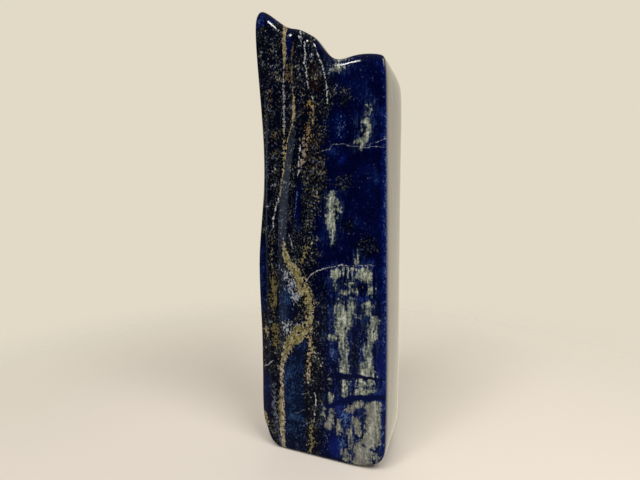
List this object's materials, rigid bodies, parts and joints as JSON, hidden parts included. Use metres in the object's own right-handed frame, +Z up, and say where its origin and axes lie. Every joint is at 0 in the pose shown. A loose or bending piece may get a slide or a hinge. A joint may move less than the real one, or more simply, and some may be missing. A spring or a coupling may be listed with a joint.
{
  "type": "lapis lazuli freeform",
  "caption": "Tall polished lapis lazuli slab with a rounded left peak, a saddle and a level right shoulder, standing on its own flat foot as a display stone.",
  "frame": {"origin": "centre of the stone's box, on the surface it stands on", "axes": "+Z up along the height, +Y from the front face to the back face, +X to the right seen from the front"},
  "size_m": [0.0826, 0.0469, 0.2583],
  "materials": {
    "lapis": "high polish"
  },
  "bodies": {
    "root": {"lapis_stone": "lapis"}
  },
  "joints": []
}
